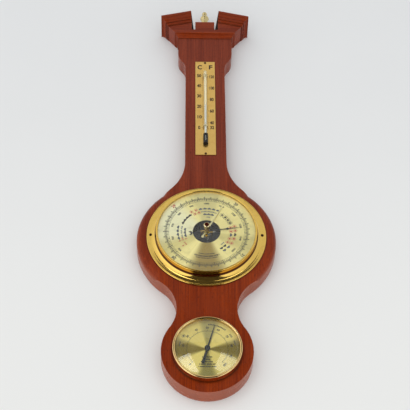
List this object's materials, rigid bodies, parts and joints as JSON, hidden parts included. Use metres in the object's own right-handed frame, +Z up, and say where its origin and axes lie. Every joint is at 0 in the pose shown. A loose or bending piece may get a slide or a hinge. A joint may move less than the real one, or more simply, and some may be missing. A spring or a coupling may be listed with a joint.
{
  "type": "analogue weather station",
  "caption": "Wall-hung banjo-shaped wooden board with a thermometer, an aneroid barometer with a set hand, and a hygrometer, under a broken pediment with a brass finial.",
  "frame": {"origin": "centre of the round entry of the hanger plate's keyhole, on the wall plane", "axes": "+Z up, +X to the right as seen from the front, +Y into the wall; the dials face -Y"},
  "size_m": [0.152, 0.0414, 0.5453],
  "materials": {
    "mahogany": "satin varnish",
    "dowel_wood": "bare",
    "bezel_brass": "spun and lacquered",
    "turned_brass": "polished",
    "plate_brass": "brushed",
    "movement_brass": "polished",
    "dial_gold": "sunburst brushed, lacquered",
    "dark_screw": "bronzed",
    "steel": "bright",
    "case_metal": "pressed",
    "capsule_metal": "pressed, corrugated",
    "coil_strip": "rolled strip",
    "black_enamel": "satin black",
    "clear_glass": "clear",
    "liquid": "silver-grey liquid"
  },
  "bodies": {
    "board": {"back_board": "mahogany", "head_block": "mahogany", "head_dowels": "dowel_wood", "finial": "turned_brass", "crown_left_front": "mahogany", "crown_left_return": "mahogany", "crown_right_front": "mahogany", "crown_right_return": "mahogany", "collar_front": "mahogany", "collar_left": "mahogany", "collar_right": "mahogany", "hanger_plate": "plate_brass", "hanger_screws": "steel", "thermometer_plate": "plate_brass", "plate_pins": "turned_brass", "thermometer_tube": "clear_glass", "liquid_column": "liquid", "bulb_guard": "black_enamel", "tube_clips": "movement_brass", "baro_bezel": "bezel_brass", "bezel_screws": "dark_screw", "baro_glass": "clear_glass", "glass_spacer": "movement_brass", "baro_dial": "dial_gold", "baro_case": "case_metal", "retaining_ring": "steel", "movement_plate": "black_enamel", "plate_screws": "steel", "aneroid_capsule": "capsule_metal", "main_spring": "steel", "spring_screws": "steel", "shaft_posts": "movement_brass", "bridge": "black_enamel", "bridge_pillars": "movement_brass", "pivot_cock": "movement_brass", "hairspring": "steel", "chain": "steel", "knob_washer": "steel", "hyg_bezel": "bezel_brass", "hyg_glass": "clear_glass", "hyg_spacer": "movement_brass", "hyg_dial": "dial_gold", "hyg_case": "case_metal", "hyg_bush": "movement_brass", "coil_post": "movement_brass", "humidity_coil": "coil_strip"},
    "pressure_pointer": {"baro_arbor": "movement_brass", "baro_pointer": "black_enamel"},
    "rocker": {"rocking_shaft": "movement_brass"},
    "lever": {"main_lever": "steel", "link_rod": "steel"},
    "set_pointer": {"set_hand": "movement_brass", "set_knob": "turned_brass"},
    "regulator": {"regulating_screw": "movement_brass"},
    "humidity_pointer": {"hyg_arbor": "steel", "hyg_pointer": "black_enamel"},
    "column_top": {"meniscus": "liquid"}
  },
  "joints": [
    {"name": "pressure_hand", "type": "hinge", "parent": "board", "child": "pressure_pointer", "pos_m": [0, -0.024, -0.265], "axis": [0, 1, 0], "range_deg": [-220, 58], "stiffness_Nm_per_rad": 0.001, "deforming": ["hairspring"]},
    {"name": "rocking_pivot", "type": "hinge", "parent": "board", "child": "rocker", "pos_m": [0, -0.011, -0.285], "axis": [1, 0, 0], "range_deg": [-17.6, 4.8], "deforming": ["chain"]},
    {"name": "lever_flexure", "type": "hinge", "parent": "board", "child": "lever", "pos_m": [0, -0.0094, -0.234], "axis": [1, 0, 0], "range_deg": [-0.85, 0.25]},
    {"name": "set_hand_turn", "type": "hinge", "parent": "board", "child": "set_pointer", "pos_m": [0, -0.031, -0.265], "axis": [0, 1, 0], "continuous": true},
    {"name": "regulating_turn", "type": "hinge", "parent": "board", "child": "regulator", "pos_m": [0, -0.0035, -0.265], "axis": [0, 1, 0], "range_deg": [-360, 360]},
    {"name": "humidity_hand", "type": "hinge", "parent": "board", "child": "humidity_pointer", "pos_m": [0, -0.015, -0.4065], "axis": [0, 1, 0], "range_deg": [-150.5, 119.5], "stiffness_Nm_per_rad": 0.001, "deforming": ["humidity_coil"]},
    {"name": "column_rise", "type": "slide", "parent": "board", "child": "column_top", "axis": [0, 0, 1], "range_m": [-0.03324, 0.04986], "stiffness_N_per_m": 1, "deforming": ["liquid_column"]}
  ],
  "couplings": [
    {"joint": "rocking_pivot", "follows": "pressure_hand", "ratio": 0.078947},
    {"joint": "lever_flexure", "follows": "pressure_hand", "ratio": 0.0036891}
  ]
}
